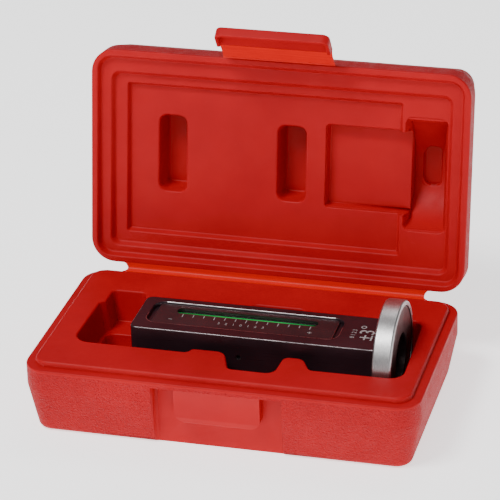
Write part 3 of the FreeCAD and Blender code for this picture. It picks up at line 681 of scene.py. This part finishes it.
# Its soft dimple: a rounded rectangle with a flat bottom
DIMPLE_X = -0.1
DIMPLE_HALF_WIDTH = 5.5
DIMPLE_HALF_LENGTH = 11.8
DIMPLE_CORNER = 3.0
DIMPLE_SIDE = (2.2, 3.1)
DIMPLE_BOTTOM = 36.1
DIMPLE_REACH = 13.0


def soft_step(value, low, high):
    share = min(max((value - low) / (high - low), 0.0), 1.0)
    return share * share * (3.0 - 2.0 * share)


def dimple_depth(x, along):
    """Distance from the curved floor down into the dimple."""
    if abs(along) >= DIMPLE_REACH:
        return 0.0
    over_x = max(abs(x - DIMPLE_X) - (DIMPLE_HALF_WIDTH - DIMPLE_CORNER), 0.0)
    over_y = max(abs(along) - (DIMPLE_HALF_LENGTH - DIMPLE_CORNER), 0.0)
    full = DIMPLE_BOTTOM / math.sqrt(1.0 - (along / RING_RADIUS) ** 2) - RING_RADIUS
    return full * (1.0 - soft_step(math.hypot(over_x, over_y), *DIMPLE_SIDE))


def on_ring_floor(column, row):
    """The first and the last row lie further on, inside the pocket's walls."""
    step = min(max(row - 1, 0), RING_STEPS)
    turn = RING_TURN * (2.0 * step / RING_STEPS - 1.0)
    depth = RING_CENTRE_DEPTH + RING_RADIUS * math.cos(turn)
    half = RING_HALF_WIDTH
    if depth < RING_FLARE_DEPTH:
        half += RING_FLARE * (RING_FLARE_DEPTH - depth) + RING_FLARE_STEP
    x = (2.0 * column / RING_COLUMNS - 1.0) * half
    radius = RING_RADIUS + dimple_depth(x, RING_RADIUS * math.sin(turn))
    vee = RING_MIDDLE + radius * math.sin(turn)
    if step != row - 1:
        vee += math.copysign(RING_END_REACH, turn)
    return (RING_X + x, *on_lid(vee, RING_CENTRE_DEPTH + radius * math.cos(turn)))


ring_floor = laid_skin(RING_COLUMNS, RING_STEPS + 2, on_ring_floor, RING_THICKNESS,
                       facing=Vector((0, -1, 0)))
finish_piece("ring_pocket_floor", ring_floor, CASE_INSIDE, "lid", smooth=60.0)

# Painted highlight: a bright band along the front rim of the upper plate pocket, a thin sheet
# laid on the bar's top
BAND_ARC_STEPS = 8
BAND_LEFT_TAIL, BAND_RIGHT_TAIL = 5.0, 9.0
BAND_OUT = 0.28
BAND_WIDTH = 0.36
BAND_RISE = 0.03


def make_rim_band():
    front = POCKET_ROUND - POCKET_HALF_WIDTH
    line = [Vector((-POCKET_HALF_LENGTH, front + BAND_LEFT_TAIL))]
    for side, first in ((-1, 180.0), (1, 270.0)):
        middle = Vector((side * (POCKET_HALF_LENGTH - POCKET_ROUND), front))
        for step in range(BAND_ARC_STEPS + 1):
            turn = math.radians(first + 90.0 * step / BAND_ARC_STEPS)
            line.append(middle + Vector((math.cos(turn), math.sin(turn))) * POCKET_ROUND)
    line.append(Vector((POCKET_HALF_LENGTH, front + BAND_RIGHT_TAIL)))

    def place(column, row):
        along = (line[min(row + 1, len(line) - 1)] - line[max(row - 1, 0)]).normalized()
        x, y = line[row] + Vector((along.y, -along.x)) * (BAND_OUT + BAND_WIDTH * column)
        return PLATE_X + x, GAUGE_Y + PLATE_SHIFT + y, GAUGE_TOP + BAND_RISE

    shape = laid_skin(1, len(line) - 1, place, BAND_RISE)
    finish_piece("painted_highlight_band", shape, PAINTED_HIGHLIGHT, "gauge")


make_rim_band()

# Printed scales of plain ticks, numbers and signs
INK_THICK = 0.06
TICK_COUNT = 13
TICK_PITCH = 6.08
TICK_MIDDLE = 1.25
TICK_HALF_WIDTH = 0.24
TICK_TOP = WINDOW_Y - 3.9
LONG_TICK, SHORT_TICK = 3.4, 2.8
NUMBER_MIDDLE = PLATE_X - 1.2
NUMBER_PITCH = 4.2
NUMBER_Y = WINDOW_Y - 10.6
NUMBER_SIZE = 3.2
LARGEST_NUMBER = 3
MINUS_X, PLUS_X = PLATE_X - 41.5, PLATE_X + 38.0
SIGN_Y = WINDOW_Y - 11.2
SIGN_SIZE = 5.0
RANGE_MARK_X, RANGE_MARK_SIZE = 70.5, 12.0
RANGE_NUMBERS_X, RANGE_NUMBERS_SIZE = 63.0, 3.6
QUARTER_TURN = math.radians(90)


def add_block(shape, low, high):
    low, high = Vector(low) * MM, Vector(high) * MM
    verts = bmesh.ops.create_cube(shape, size=1.0)["verts"]
    bmesh.ops.scale(shape, vec=high - low, verts=verts)
    bmesh.ops.translate(shape, vec=(high + low) / 2, verts=verts)


def print_ticks(name, low, high):
    shape = bmesh.new()
    for step in range(-(TICK_COUNT // 2), TICK_COUNT // 2 + 1):
        x = TICK_MIDDLE + step * TICK_PITCH
        length = SHORT_TICK if step % 3 else LONG_TICK
        add_block(shape, (x - TICK_HALF_WIDTH, TICK_TOP - length, low),
                  (x + TICK_HALF_WIDTH, TICK_TOP, high))
    finish_piece(name, shape, INK, "gauge")


def print_words(name, words, place, size, turn=0.0):
    """Words centred on a place, as a thin mesh that stands on it."""
    curve = bpy.data.curves.new(name + "_curve", "FONT")
    curve.body = words
    curve.size = size * MM
    curve.align_x = "CENTER"
    curve.align_y = "CENTER"
    curve.extrude = INK_THICK / 2 * MM
    curve.resolution_u = 3
    holder = new_object(name + "_curve", curve)
    bpy.context.view_layer.update()
    mesh = bpy.data.meshes.new_from_object(holder)
    bpy.data.objects.remove(holder)
    shape = bmesh.new()
    shape.from_mesh(mesh)
    bmesh.ops.rotate(shape, cent=(0, 0, 0), matrix=Matrix.Rotation(turn, 3, "Z"),
                     verts=shape.verts)
    middle = Vector(place) + Vector((0, 0, INK_THICK / 2))
    bmesh.ops.translate(shape, vec=middle * MM, verts=shape.verts)
    finish_piece(name, shape, INK, "gauge")


print_ticks("scale_ticks", PLATE_TOP, PLATE_TOP + INK_THICK)
print_ticks("caster_scale_ticks", PLATE_LOW - INK_THICK, PLATE_LOW)
for step in range(-LARGEST_NUMBER, LARGEST_NUMBER + 1):
    print_words("scale_number_%d" % (step + LARGEST_NUMBER), str(abs(step)),
                (NUMBER_MIDDLE + step * NUMBER_PITCH, NUMBER_Y, PLATE_TOP), NUMBER_SIZE)
print_words("scale_minus", "−", (MINUS_X, SIGN_Y, PLATE_TOP), SIGN_SIZE)
print_words("scale_plus", "+", (PLUS_X, SIGN_Y, PLATE_TOP), SIGN_SIZE)
print_words("range_mark", "±3°", (RANGE_MARK_X, GAUGE_Y, GAUGE_TOP), RANGE_MARK_SIZE,
            QUARTER_TURN)
print_words("range_numbers", "0 1 2 3", (RANGE_NUMBERS_X, GAUGE_Y - 2.0, GAUGE_TOP),
            RANGE_NUMBERS_SIZE, QUARTER_TURN)
